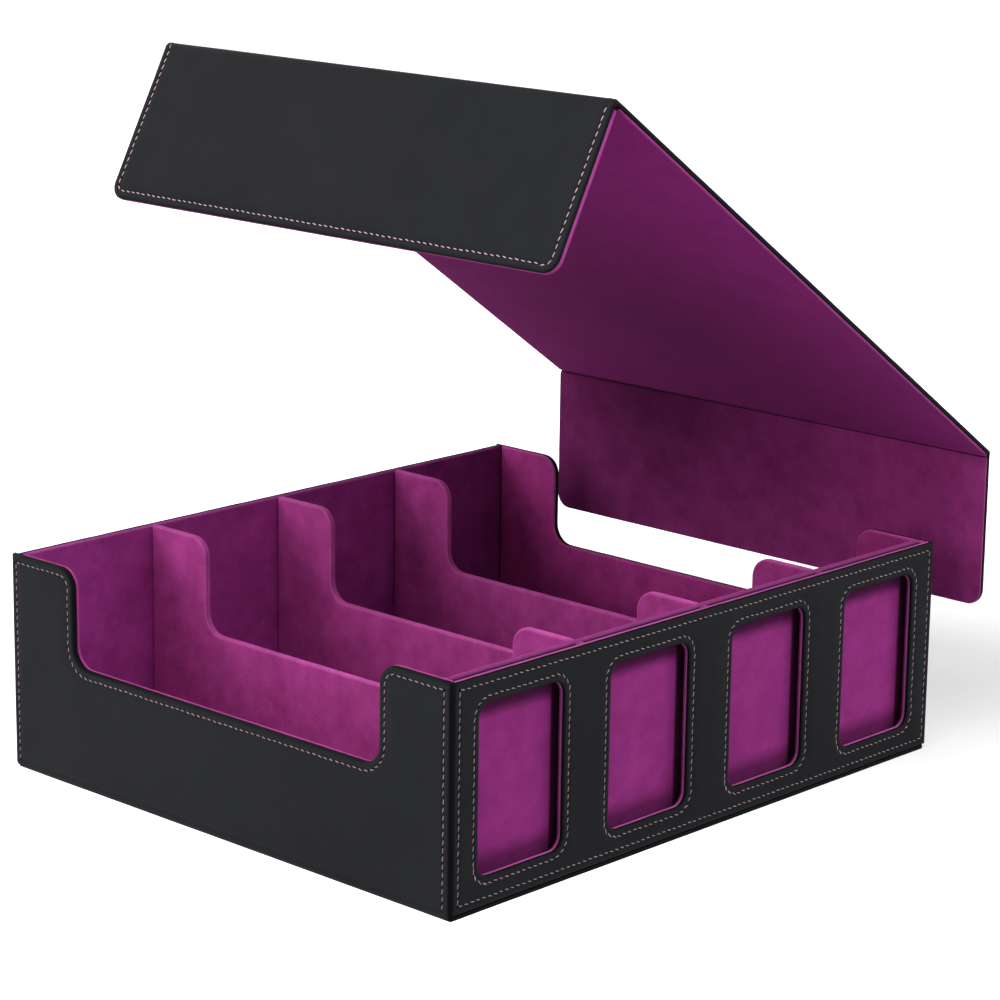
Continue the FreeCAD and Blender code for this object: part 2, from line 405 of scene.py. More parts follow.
def leatherette(name, shade, slope=None):
    """Black artificial leather: fine pebbles, slow waves, faint wear; painted shade near black round its
    turned edges, along a slope, and per piece by its shade.
    """
    f = Finish(name)
    tone = f.cloud(7.0, 3.0, 0.55) * 0.75 + f.cloud(70.0, 4.0, 0.6) * 0.25
    dark = (0.0034 * shade, 0.0037 * shade, 0.0048 * shade, 1.0)
    pale = (0.0074 * shade, 0.0079 * shade, 0.0098 * shade, 1.0)
    skin_colour = f.blend(f.ranged(tone, 0.3, 0.7), dark, pale)
    # painted shade: darker towards black along the slope
    if slope:
        skin_colour = f.blend(f.slope(*slope), BLACK, skin_colour)
    # painted shade: turned edges and seam valleys, which catch little light, painted near black
    edge = f.attribute("rim")
    f.surface_is(Base_Color=f.blend(edge, skin_colour, (0.0012, 0.0012, 0.0016, 1.0)))
    pebble = f.node(
        "ShaderNodeTexVoronoi", {"Vector": f.place, "Scale": 900.0}, feature="DISTANCE_TO_EDGE"
    )
    grain = f.ranged(pebble, 0.0, 0.25) + f.cloud(300.0) * 0.6
    waves = f.relief(f.cloud(38.0), 0.0008, 0.12)
    pebbled = f.relief(grain, 0.00004, 0.5, waves)
    relief = f.relief(f.cloud(2600.0), 0.00002, 0.4, pebbled)
    f.surface_is(Normal=relief)
    wear_and_highlight = f.ranged(f.cloud(60.0, 3.0), 0.3, 0.7, 0.56, 0.6)
    f.surface_is(Roughness=wear_and_highlight + edge * 0.3)
    f.surface_is(Specular_IOR_Level=0.1 * shade, Specular_Tint=(0.88, 0.92, 1.0, 1.0))
    return f.material


def slot_painted_shadow(f):
    """Painted shadow in the slot, where the frame keeps the light out: at the sill, under the head and
    past each window's side.
    """
    sill = f.slope(UPWARDS, SILL_LOW, SILL_HIGH, 0.6, 0.0)
    head = f.slope(UPWARDS, HEAD_LOW, HEAD_HIGH, 0.0, 0.7)
    start = (LEFT + WINDOW_X + WINDOW_WIDTH - SIDE_START) * MM
    past = (f.along(ACROSS) - start) % (WINDOW_PITCH * MM)
    dark = f.ranged(past, 0.0, SIDE_SOFT * MM, 0.0, 0.95)
    fading = f.ranged(past, SIDE_FADE * MM, SIDE_END * MM, 1.0, 0.0)
    side = dark * fading * f.slope(UPWARDS, SLOT_SHADOW_FADE, SLOT_SHADOW_END, 1.0, 0.0)
    in_slot = f.slope(BACKWARDS, SLOT_FACE, SLOT_FACE_END, 1.0, 0.0)
    return (1.0 - (1.0 - sill) * (1.0 - side) * (1.0 - head)) * in_slot


def tinted(colour, lay_and_shade):
    """A colour with each of its parts scaled."""
    return tuple(part * scale for part, scale in zip(colour, lay_and_shade)) + (1.0,)


def velvet(name, lay_and_shade, rolled=0.5, slope=None, spot=None, painted_shadow=None, even=0.36):
    """Short-pile velvet: brushed patches, fibre grain, rolled edges lighter with worn pile and painted
    highlight, soft sheen.

    Each board's velvet is scaled by its lay and shade, which stands for the way the pile lies there and
    for painted light and shade of that board, and it may grow lighter or darker along a slope or around a
    spot, as painted light and shade. The painted shadow is where it is painted nearly black for shade,
    and a low even makes its patches fainter.
    """
    f = Finish(name)
    brushed = f.cloud(46.0, 4.0, 0.6)
    strokes = f.cloud(120.0, 4.0, 0.65)
    nap = f.ranged(brushed * 0.55 + strokes * 0.45, even, 1.0 - even)
    tone = nap * 0.75 + f.cloud(1300.0) * 0.25
    # the lay and shade scales the colour per board: the way its pile lies, and painted light and shade of
    # that board
    pile = f.blend(tone, tinted((0.125, 0.0110, 0.084), lay_and_shade), tinted((0.218, 0.0225, 0.148), lay_and_shade))
    # painted light and shade along a slope and around a spot
    if slope:
        pile = f.blend(f.slope(*slope), BLACK, pile)
    if spot:
        pile = f.blend(f.around(*spot), BLACK, pile)
    # painted shadow: nearly black where the slot is shaded
    if painted_shadow:
        pile = f.blend(painted_shadow(f), pile, (0.006, 0.0008, 0.004, 1.0))
    # lighter rolled edges: worn pile and painted highlight
    wear_and_highlight = f.attribute("rim") * (f.cloud(180.0, 3.0) * rolled + 0.5 * rolled)
    f.surface_is(Base_Color=f.blend(wear_and_highlight, pile, (0.56, 0.18, 0.43, 1.0)))
    relief = f.relief(f.cloud(520.0, 3.0), 0.00025, 0.6)
    f.surface_is(Normal=f.relief(brushed, 0.0006, 0.3, relief))
    f.surface_is(Roughness=0.92, Sheen_Weight=0.22, Sheen_Roughness=0.42)
    f.surface_is(Sheen_Tint=(0.9, 0.16, 0.64, 1.0), Specular_IOR_Level=0.05)
    return f.material


def thread(name, shade):
    """Mauve sewing thread, scaled by its shade per group as painted light and shade."""
    f = Finish(name)
    deep = (0.40 * shade, 0.20 * shade, 0.28 * shade, 1.0)
    pale = (0.68 * shade, 0.44 * shade, 0.54 * shade, 1.0)
    f.surface_is(Base_Color=f.blend(f.cloud(420.0), deep, pale))
    f.surface_is(Roughness=0.62, Sheen_Weight=0.2)
    return f.material


def needle_hole():
    """Dark holes at the ends of the stitches."""
    f = Finish("needle_hole")
    deep = (0.002, 0.002, 0.003, 1.0)
    pale = (0.006, 0.006, 0.007, 1.0)
    f.surface_is(Base_Color=f.blend(f.cloud(900.0), deep, pale))
    f.surface_is(Roughness=0.95, Specular_IOR_Level=0.1)
    return f.material


def grey_board():
    """Pressed board inside the coverings."""
    f = Finish("grey_board")
    deep = (0.24, 0.22, 0.19, 1.0)
    pale = (0.33, 0.30, 0.26, 1.0)
    f.surface_is(Base_Color=f.blend(f.cloud(700.0, 4.0), deep, pale))
    f.surface_is(Roughness=0.88, Normal=f.relief(f.cloud(900.0), 0.00006, 0.5))
    return f.material


def nickel():
    """Bright plating of the magnets."""
    f = Finish("nickel")
    f.surface_is(Base_Color=(0.56, 0.55, 0.53, 1.0), Metallic=1.0)
    f.surface_is(Roughness=f.ranged(f.cloud(200.0, 3.0), 0.3, 0.7, 0.28, 0.42))
    return f.material


def plain_white():
    """Floor that stays white to the eye and keeps a soft shadow near the object."""
    f = Finish("white_floor")
    f.surface_is(Base_Color=(0.58, 0.58, 0.58, 1.0), Roughness=0.9, Specular_IOR_Level=0.1)
    glow = f.around(GLOW_FROM, GLOW_NEAR, GLOW_FAR, GLOW_LOW, 1.0)
    f.surface_is(Emission_Color=f.blend(f.seen() * glow, BLACK, WHITE), Emission_Strength=1.0)
    return f.material


# The shade of each leather and thread and the lay of each velvet scale one material per group of pieces,
# as painted light and shade of that group; the base's leather is painted darker for the shade under the
# box, and the velvet's lay also stands for the way its pile lies.
FINISHES = {
    "leather": leatherette("leatherette", 1.0, CORNER_SHADE_SLOPE),
    "panel_leather": leatherette("leatherette_panel", 0.62, CORNER_SHADE_SLOPE),
    "lid_leather": leatherette("leatherette_lid", 0.84, LID_LEATHER_SHADE_SLOPE),
    "base_leather": leatherette("leatherette_base", 0.3),
    "velvet": velvet("velvet", (1.2, 1.35, 1.2)),
    "back_velvet": velvet("velvet_back", (2.05, 2.55, 2.3), slope=BACK_SHADE_SLOPE),
    "row_velvet": velvet("velvet_rows", (2.1, 2.7, 2.0), 0.25),
    "side_velvet": velvet("velvet_sides", (2.0, 2.1, 1.75), 0.25),
    "front_velvet": velvet("velvet_front", (1.08, 1.1, 1.15), 0.3, painted_shadow=slot_painted_shadow, even=0.3),
    "panel_velvet": velvet("velvet_panel", (1.35, 1.5, 1.35), 0.5, slope=PANEL_SHADE_SLOPE),
    "lid_velvet": velvet("velvet_lid", (1.33, 1.04, 1.41), 0.4, spot=LID_SHADE_SPOT, even=0.2),
    "flap_velvet": velvet("velvet_flap", (1.55, 1.8, 1.5), 0.4, spot=FLAP_SHADE_SPOT),
    "box_thread": thread("thread_box", 0.68),
    "panel_thread": thread("thread_panel", 0.46),
    "lid_thread": thread("thread_lid", 1.25),
    "hole": needle_hole(),
    "board": grey_board(),
    "magnet": nickel(),
}


# ---------------------------------------------------------------- outlines

class Outline:
    """Closed anticlockwise outline of (u, v, radius) corners, sampled alike at every inset."""

    def __init__(self, *corners):
        self.corners = corners
        self.pieces = []
        arcs = self.arcs(0.0)
        for i in range(len(corners)):
            run = (arcs[(i + 1) % len(corners)][0] - arcs[i][1]).length
            self.pieces.append(max(1, round(run / RUN_STEP)))

    def arcs(self, inset):
        """Start, end and centre of every corner's arc at an inset."""
        found = []
        count = len(self.corners)
        for i in range(count):
            u, v, radius = self.corners[i]
            here = Vector((u, v))
            come = (here - Vector(self.corners[i - 1][:2])).normalized()
            go = (Vector(self.corners[(i + 1) % count][:2]) - here).normalized()
            come_in = Vector((-come.y, come.x))
            go_in = Vector((-go.y, go.x))
            here = here + (come_in + go_in) * (inset / (1 + come_in.dot(go_in)))
            side = 1 if come.x * go.y > come.y * go.x else -1
            radius = max(radius - side * inset, 0.0) if radius else 0.0
            reach = radius * math.tan(math.acos(max(-1.0, min(1.0, come.dot(go)))) / 2)
            start = here - come * reach
            found.append((start, here + go * reach, start + come_in * side * radius))
        return found

    def corner(self, arcs, i):
        """Points of one corner: an arc, or the single point of a sharp one."""
        start, end, centre = arcs[i]
        if not self.corners[i][2]:
            return [start]
        spoke = start - centre
        if spoke.length < NO_RADIUS:
            return [start] * (ARC_STEPS + 1)
        turn = -spoke.angle_signed(end - centre)
        return [centre + Matrix.Rotation(turn * k / ARC_STEPS, 2) @ spoke for k in range(ARC_STEPS + 1)]

    def run(self, inset, first, last):
        """Points from one corner to a later one."""
        arcs = self.arcs(inset)
        count = len(arcs)
        points = []
        for i in range(first, last):
            here = i % count
            start = arcs[here][1]
            end = arcs[(i + 1) % count][0]
            points += self.corner(arcs, here)
            points += [start.lerp(end, k / self.pieces[here]) for k in range(1, self.pieces[here])]
        return points + self.corner(arcs, last % count)

    def ring(self, inset):
        """All points of the outline moved inward by an inset."""
        count = len(self.corners)
        points = self.run(inset, 0, count)
        return points[: -len(self.corner(self.arcs(inset), 0))]


def dipped(y0, y1, foot, heel=0.0):
    """Side view of a wall or divider: two humps with a dip between them."""
    return Outline(
        (y0, foot, 0.0),
        (y1, foot, heel),
        (y1, TOP, 0.0),
        (BACK - HUMP, TOP, HUMP_CORNER),
        (BACK - HUMP, DIP_Z, DIP_CORNER),
        (FRONT + HUMP, DIP_Z, DIP_CORNER),
        (FRONT + HUMP, TOP, HUMP_CORNER),
        (y0, TOP, 0.0),
    )


def rectangle(u0, u1, v0, v1, low=0.0, high=0.0):
    """Rectangle with one corner radius at the low end of v and one at its high end."""
    return Outline((u0, v0, low), (u1, v0, low), (u1, v1, high), (u0, v1, high))


def window(number):
    """Outline of one window of the front panel."""
    x = LEFT + WINDOW_X + number * WINDOW_PITCH
    top = WINDOW_Z + WINDOW_HEIGHT
    return rectangle(x, x + WINDOW_WIDTH, WINDOW_Z, top, WINDOW_CORNER, WINDOW_CORNER)


# ---------------------------------------------------------------- edge profiles
# A profile is a list of (inset, depth, rim): rim is 1 on the crest or turn of an edge and in a leather
# seam's valley. On leather it paints shade, near black; on velvet it paints the edge lighter, as worn
# pile and painted highlight.

def quarter(radius, height, rim, count=5):
    """Quarter turn from a face down to its edge."""
    points = []
    for k in range(count + 1):
        a = math.pi / 2 * k / count
        points.append((radius * (1 - math.sin(a)), height * (1 - math.cos(a)), rim * math.sin(2 * a)))
    return points


def sewn_face(inset):
    """Flat face with the shallow channel in which the thread lies."""
    return [(inset + aside, GROOVE * share, 0.0) for aside, share in CHANNEL]


def skin(seam, inset=STITCH_INSET):
    """Leather from its face, round the edge and down into the seam."""
    turn = quarter(EDGE_ROUND, seam - LIP, 0.0)
    # painted shade: the rim grows to 1 as the leather turns down, and stays 1 in the seam's valley
    darker = [(x, depth, min(1.0, depth / DARK_DEPTH)) for x, depth, rim in turn]
    valley = [(0.05, seam - 0.2, 1.0), (LIP, seam, 1.0), (SEAM_REACH, seam, 1.0)]
    return sewn_face(inset) + darker + valley


def turned_over(profile, thickness):
    """The same profile on the opposite face."""
    return [(inset, thickness - depth, rim) for inset, depth, rim in reversed(profile)]


def lining(seam, thickness, face=FACE):
    """Velvet from the seam, up to the crest of the edge and onto its face."""
    roll = min(ROLL, thickness - seam - ROLL_START)
    rise = [(SEAM_REACH, seam + 0.05, 0.0), (LIP, seam + 0.05, 0.0), (0.12, seam + 0.4, 0.8)]
    turn = turned_over(quarter(roll, roll, ROLL_CREST), thickness)
    return rise + turn + [(roll + ROLL_EASE, thickness, 0.0), (face, thickness, 0.0)]


def wrapped(thickness, seam=None):
    """Velvet on both faces and round the edge, with a seam along the edge if there is one."""
    roll = min(ROLL, thickness * ROLL_SHARE)
    front = [(FACE, 0.0, 0.0), (roll + ROLL_EASE, 0.0, 0.0)] + quarter(roll, roll, ROLL_CREST)
    back = turned_over(front, thickness)
    if seam is None:
        return front + back
    valley = [(0.05, seam - 0.3, 0.9), (0.55, seam, 0.0), (0.05, seam + 0.3, 0.9)]
    return front + valley + back


# ---------------------------------------------------------------- meshes

def wave(point, size, seed):
    """Smooth unevenness at a point, with waves of a size."""
    shift = Vector((seed, 0.37 * seed, -0.61 * seed))
    return noise.noise_vector(point / size + shift)


def settle(bm, place, seed):
    """Moves the flat pattern to its place and makes it as uneven as handwork."""
    rim = bm.verts.layers.float["rim"]
    for vert in bm.verts:
        at = place(*vert.co)
        sag = wave(at, SAG_WAVE, seed) * SAG
        vert.co = at + sag + wave(at, EDGE_WAVE, seed) * (EDGE_SWING * vert[rim])


def keep_piece(name, bm, finish, body, replaced=()):
    """Closes a mesh, brings it to metres and hangs it on its body.
    """
    bmesh.ops.remove_doubles(bm, verts=bm.verts, dist=MERGE)
    bmesh.ops.dissolve_degenerate(bm, edges=bm.edges, dist=MERGE)
    bmesh.ops.recalc_face_normals(bm, faces=bm.faces)
    bmesh.ops.scale(bm, vec=(MM, MM, MM), verts=bm.verts)
    mesh = bpy.data.meshes.new(name)
    bm.to_mesh(mesh)
    bm.free()
    mesh.shade_smooth()
    mesh.materials.append(FINISHES[finish])
    return hang(name, mesh, body, replaced)


def hang(name, mesh, body, replaced=()):
    """Makes a piece of a mesh, ties it to its body and hides the nodes that it covers."""
    piece = bpy.data.objects.new(name, mesh)
    bpy.context.scene.collection.objects.link(piece)
    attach(piece, body)
    if replaced:
        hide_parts(*replaced)
    return piece


def skin_over(bm, loops):
    """Joins each closed loop of points to the next one."""
    for low, high in zip(loops, loops[1:]):
        for i in range(len(low)):
            bm.faces.new((low[i - 1], low[i], high[i], high[i - 1]))


def band(bm, outline, profile, sign=1):
    """Skins an outline along a profile; both ends stay open."""
    rim = bm.verts.layers.float["rim"]
    loops = []
    for inset, depth, crest in profile:
        loop = [bm.verts.new((p.x, p.y, depth)) for p in outline.ring(sign * inset)]
        for vert in loop:
            vert[rim] = crest
        loops.append(loop)
    skin_over(bm, loops)


def fill_face(bm, depth):
    """Fills the flat region that the open rims at a depth enclose."""
    edges = [
        edge
        for edge in bm.edges
        if edge.is_boundary and all(abs(vert.co.z - depth) < ON_LEVEL for vert in edge.verts)
    ]
    bmesh.ops.triangle_fill(bm, edges=edges, use_beauty=True, normal=(0.0, 0.0, 1.0))


def cut_at(bm, axis, value):
    """Cuts the flat pattern across one of its axes."""
    at = Vector((0, 0, 0))
    at[axis] = value
    facing = Vector((1 - axis, axis, 0))
    geometry = bm.verts[:] + bm.edges[:] + bm.faces[:]
    bmesh.ops.bisect_plane(bm, geom=geometry, dist=CUT_MERGE, plane_co=at, plane_no=facing)


def cut_grid(bm):
    """Cuts the faces along a grid, so that they can sag a little."""
    for axis in (0, 1):
        values = [vert.co[axis] for vert in bm.verts]
        for k in range(1, int((max(values) - min(values)) / GRID) + 1):
            cut_at(bm, axis, min(values) + (k - GRID_START) * GRID)


def keep_rim_within(bm, low, high):
    """Takes the rim off the edges outside a span of the first axis."""
    rim = bm.verts.layers.float["rim"]
    for vert in bm.verts:
        if not low < vert.co.x < high:
            vert[rim] = 0.0


def plate(
    name, outline, profile, place, finish, body, replaced=(), seed=0.0, holes=(), hole_profile=None,
    folds=(), wear_and_highlight_span=None,
):
    """Closed flat piece: an outline, and holes in it, each followed by an edge profile.

    At the folds, given along the first axis, the faces are cut so that they can bend. Only
    inside the span of worn pile and painted highlight on that axis do the edges count as a rim.
    """
    bm = bmesh.new()
    bm.verts.layers.float.new("rim")
    band(bm, outline, profile)
    for hole in holes:
        band(bm, hole, hole_profile, -1)
    bmesh.ops.remove_doubles(bm, verts=bm.verts, dist=MERGE)
    fill_face(bm, profile[0][1])
    fill_face(bm, profile[-1][1])
    cut_grid(bm)
    for value in folds:
        cut_at(bm, 0, value)
    if wear_and_highlight_span:
        keep_rim_within(bm, *wear_and_highlight_span)
    settle(bm, place, seed)
    return keep_piece(name, bm, finish, body, replaced)


# Places: each turns (along, up, depth) of a pattern to the frame, from the face named.

def from_left(x):
    return lambda y, z, depth: Vector((x + depth, y, z))


def from_right(x):
    return lambda y, z, depth: Vector((x - depth, y, z))


def from_front(y):
    return lambda x, z, depth: Vector((x, y + depth, z))


def from_back(y):
    return lambda x, z, depth: Vector((x, y - depth, z))


def from_below(x, y, depth):
    return Vector((x, y, depth))


# ---------------------------------------------------------------- stitching

class Seams:
    """Sewn lines, gathered by body and the box's in two groups, until they are turned into thread."""

    def __init__(self):
        self.lines = {}

    def add(self, group, points, place, inward):
        """A line of pattern points, sewn into the face that looks away from inward."""
        line = [place(p.x, p.y, THREAD_DEPTH) for p in points]
        self.lines.setdefault(group, []).append((line, -inward))

    def around(self, group, outline, inset, place, inward, first, last):
        """Sews along the outline, one line for every stretch between sharp corners."""
        start = first
        for i in range(first + 1, last + 1):
            sharp = not outline.corners[i % len(outline.corners)][2]
            if sharp or i == last:
                self.add(group, outline.run(inset, start, i), place, inward)
                start = i


SEAMS = Seams()

# thread of the two groups that belong to the box; the others are the lid's
THREADS = {"box": "box_thread", "panel": "panel_thread"}


def one_stitch(g, pitch, dash, thread, finish):
    """A slanted flat bead of thread that starts at its needle hole."""
    ball = g.node("GeometryNodeMeshUVSphere", {"Segments": 6, "Rings": 5, "Radius": 0.5})
    size = g.node("ShaderNodeCombineXYZ", (dash, thread, thread * THREAD_FLAT))
    ahead = g.node("ShaderNodeCombineXYZ", (pitch * 0.5,))
    bead = g.node("GeometryNodeTransform", {"Geometry": ball, "Scale": size})
    bead = g.node("GeometryNodeTransform", {"Geometry": bead, "Rotation": (0.0, 0.0, SLANT)})
    bead = g.node("GeometryNodeTransform", {"Geometry": bead, "Translation": ahead})
    return g.node("GeometryNodeSetMaterial", {"Geometry": bead, "Material": finish})


def needle_disc(g, radius):
    """A dark disc for the needle hole at the start of a stitch."""
    inputs = {"Vertices": 6, "Radius": radius}
    disc = g.node("GeometryNodeMeshCircle", inputs, fill_type="TRIANGLE_FAN")
    return g.node("GeometryNodeSetMaterial", {"Geometry": disc, "Material": FINISHES["hole"]})


def stitch_turn(g):
    """Turn of each stitch: flat on its face, along its line, and slanted a little at random."""
    facing = g.node("GeometryNodeInputNamedAttribute", {"Name": "facing"}, data_type="FLOAT_VECTOR")
    tangent = g.node("GeometryNodeInputTangent")
    axes = {"Primary Axis": facing, "Secondary Axis": tangent}
    flat = g.node("FunctionNodeAxesToRotation", axes, primary_axis="Z", secondary_axis="X")
    slant = g.node("FunctionNodeRandomValue", {2: -SLANT_SPREAD, 3: SLANT_SPREAD, "Seed": 3}, output=1)
    twist = g.node("ShaderNodeCombineXYZ", {"Z": slant})
    inputs = {"Rotation": flat, "Rotate By": twist}
    return g.node("FunctionNodeRotateRotation", inputs, rotation_space="LOCAL")


def stitch_tree():
    """Geometry Nodes: a stitch and a needle hole at every pitch along the lines."""
    tree = bpy.data.node_groups.new("stitching", "GeometryNodeTree")
    tree.interface.new_socket("Lines", in_out="INPUT", socket_type="NodeSocketGeometry")
    for name in ("Pitch", "Dash", "Thread", "Hole"):
        tree.interface.new_socket(name, in_out="INPUT", socket_type="NodeSocketFloat")
    tree.interface.new_socket("Finish", in_out="INPUT", socket_type="NodeSocketMaterial")
    tree.interface.new_socket("Stitches", in_out="OUTPUT", socket_type="NodeSocketGeometry")
    g = Nodes(tree)

    def given(name):
        return g.node("NodeGroupInput", output=name)

    line = g.node("GeometryNodeMeshToCurve", {"Mesh": given("Lines")})
    spacing = {"Curve": line, "Length": given("Pitch")}
    points = g.node("GeometryNodeResampleCurve", spacing, mode="LENGTH")
    last = g.node("GeometryNodeCurveEndpointSelection", {"Start Size": 0, "End Size": 1})
    before_last = g.node("FunctionNodeBooleanMath", {0: last}, operation="NOT")
    stretch = g.node("FunctionNodeRandomValue", {2: SHORTEST, 3: LONGEST, "Seed": 8}, output=1)
    scale = g.node("ShaderNodeCombineXYZ", (stretch, 1.0, 1.0))
    where = {"Points": points, "Rotation": stitch_turn(g), "Scale": scale}
    stitch = one_stitch(g, given("Pitch"), given("Dash"), given("Thread"), given("Finish"))
    stitches = {**where, "Instance": stitch, "Selection": before_last}
    holes = {**where, "Instance": needle_disc(g, given("Hole"))}
    both = tree.nodes.new("GeometryNodeJoinGeometry")
    g.feed(both.inputs[0], g.node("GeometryNodeInstanceOnPoints", stitches))
    g.feed(both.inputs[0], g.node("GeometryNodeInstanceOnPoints", holes))
    real = g.node("GeometryNodeRealizeInstances", (Value(g, both.outputs[0]),))
    smooth = g.node("GeometryNodeSetShadeSmooth", (real,))
    g.feed(tree.nodes.new("NodeGroupOutput").inputs[0], smooth)
    return tree


def line_mesh(lines):
    """Mesh of bare edges along the sewn lines, each point with the way its face looks."""
    verts, edges, facing = [], [], []
    for line, normal in lines:
        start = len(verts)
        verts += [p * MM for p in line]
        facing += [tuple(normal)] * len(line)
        edges += [(start + i, start + i + 1) for i in range(len(line) - 1)]
    mesh = bpy.data.meshes.new("sewn_lines")
    mesh.from_pydata(verts, edges, [])
    layer = mesh.attributes.new("facing", "FLOAT_VECTOR", "POINT")
    for i, value in enumerate(facing):
        layer.data[i].vector = value
    return mesh


def sew_all():
    """One mesh of stitches for every group of sewn lines."""
    tree = stitch_tree()
    sizes = {"Pitch": STITCH_PITCH, "Dash": DASH, "Thread": THREAD, "Hole": NEEDLE_HOLE}
    for group, lines in SEAMS.lines.items():
        mesh = line_mesh(lines)
        draft = bpy.data.objects.new("sewn_lines", mesh)
        bpy.context.scene.collection.objects.link(draft)
        modifier = draft.modifiers.new("stitching", "NODES")
        modifier.node_group = tree
        for item in tree.interface.items_tree:
            if item.name in sizes:
                modifier[item.identifier] = sizes[item.name] * MM
            elif item.name == "Finish":
                modifier[item.identifier] = FINISHES[THREADS.get(group, "lid_thread")]
        ready = draft.evaluated_get(bpy.context.evaluated_depsgraph_get())
        stitches = bpy.data.meshes.new_from_object(ready)
        bpy.data.objects.remove(draft)
        bpy.data.meshes.remove(mesh)
        hang(group + "_stitches", stitches, "box" if group in THREADS else group)


# ---------------------------------------------------------------- box

def side_wall(side, place, inward):
    """Leather outside and velvet inside of one side wall."""
    cover = dipped(FRONT + WALL_START, BACK + WALL_OVER, WALL_FOOT, HEEL)
    hidden = (side + "_wall_leather", side + "_wall_board")
    plate(side + "_wall_cover", cover, skin(WALL_SEAM), place, "leather", "box", hidden)
    inner = dipped(FRONT + FRAME, BAY_BACK - CORNER_GAP, BASE_TOP)
    pile = lining(WALL_SEAM, WALL)
    hidden = (side + "_wall_velvet",)
    plate(side + "_wall_lining", inner, pile, place, "side_velvet", "box", hidden, seed=3.0)
    SEAMS.around("box", cover, STITCH_INSET, place, inward, 1, len(cover.corners))


def back_wall():
    """Leather outside and velvet inside of the back wall."""
    place = from_back(BACK)
    cover = rectangle(LEFT + WALL_SEAM, RIGHT - WALL_SEAM, WALL_FOOT, TOP)
    hidden = ("back_wall_leather", "back_wall_board")
    plate("back_wall_cover", cover, skin(WALL_SEAM), place, "leather", "box", hidden)
    inner = rectangle(LEFT + WALL - TUCK, RIGHT - WALL + TUCK, BASE_TOP, TOP)
    pile = lining(WALL_SEAM, WALL)
    hidden = ("back_wall_velvet",)
    # span of the lighter edges: worn pile and painted highlight
    wear_and_highlight = (LEFT + WALL + CALM, RIGHT - WALL - CALM)
    plate(
        "back_wall_lining", inner, pile, place, "back_velvet", "box", hidden, seed=5.0, wear_and_highlight_span=wear_and_highlight
    )
    SEAMS.around("box", cover, STITCH_INSET, place, Vector((0, -1, 0)), 1, 4)


def inner_front():
    """Velvet-covered wall behind the card slot."""
    start = FRONT + FRAME + SLOT
    outline = rectangle(LEFT + WALL - TUCK, RIGHT - WALL + TUCK, BASE_TOP, TOP)
    hidden = ("inner_front_face_velvet", "inner_front_board", "inner_front_velvet")
    pile = wrapped(BAY_FRONT - start)
    place = from_front(start)
    plate("inner_front_wall", outline, pile, place, "front_velvet", "box", hidden, seed=7.0)


def front_panel():
    """Sewn leather panel with four windows and its velvet back."""
    place = from_front(FRONT)
    outline = rectangle(LEFT + PANEL_SIDE, RIGHT - PANEL_SIDE, PANEL_FOOT, TOP)
    holes = [window(i) for i in range(WINDOWS)]
    hidden = ("front_frame_leather", "front_frame_board")
    plate(
        "front_panel_cover", outline, skin(PANEL_SEAM), place, "panel_leather", "box", hidden,
        holes=holes, hole_profile=skin(PANEL_SEAM, WINDOW_STITCH),
    )
    inner = rectangle(LEFT + WALL_SEAM, RIGHT - WALL_SEAM, PANEL_FOOT, TOP)
    pile = lining(PANEL_SEAM, FRAME, PANEL_FACE)
    hidden = ("front_frame_velvet",)
    plate(
        "front_panel_lining", inner, pile, place, "panel_velvet", "box", hidden, seed=2.0,
        holes=holes, hole_profile=pile,
    )
    inward = Vector((0, 1, 0))
    SEAMS.around("panel", outline, STITCH_INSET, place, inward, 0, 4)
    for hole in holes:
        SEAMS.add("panel", hole.run(-WINDOW_STITCH, 0, 4), place, inward)


def divider_span(number):
    """Left and right face of one divider."""
    low, high = span("divider_%d_velvet" % number)
    return low.x, high.x


def add_block(bm, low, high):
    """Axis-aligned block between two corners."""
    made = bmesh.ops.create_cube(bm, size=1.0)["verts"]
    bmesh.ops.scale(bm, vec=Vector(high) - Vector(low), verts=made)
    bmesh.ops.translate(bm, vec=(Vector(low) + Vector(high)) / 2, verts=made)


def slot_strips():
    """Velvet-covered strips that close the card slot below and at the dividers."""
    bm = bmesh.new()
    add_block(bm, slot_low, slot_high)
    for number in DIVIDERS:
        x0, x1 = divider_span(number)
        low = (x0, slot_low.y - STRIP_OVER, slot_high.z)
        high = (x1, slot_high.y + STRIP_OVER, TOP - STRIP_DROP)
        add_block(bm, low, high)
    keep_piece("slot_strips", bm, "velvet", "box", ("slot_uprights", "slot_sill"))


def base():
    """Leather-covered base with a rounded rim, and the velvet floor of the rows."""
    width = (LEFT + BASE_INSET, RIGHT - BASE_INSET)
    depth = (FRONT + BASE_INSET, BACK - BASE_INSET)
    outline = rectangle(*width, *depth, BASE_CORNER, BASE_CORNER)
    under = [(BASE_FACE, 0.0, 0.0), (BASE_EASE, 0.0, 0.0)] + quarter(BASE_ROUND, BASE_ROUND, 0.0)
    profile = under + [(0.0, BASE_TOP, 0.0), (BASE_FACE, BASE_TOP, 0.0)]
    plate("base_cover_skin", outline, profile, from_below, "base_leather", "box", ("base_cover",))
    low, high = span("floor_velvet")
    floor = rectangle(low.x, high.x, low.y, high.y)
    flat = [(FLOOR_FACE, low.z, 0.0), (0.0, low.z, 0.0), (0.0, high.z, 0.0), (FLOOR_FACE, high.z, 0.0)]
    plate("floor_lining", floor, flat, from_below, "velvet", "box", ("floor_velvet",), seed=9.0)


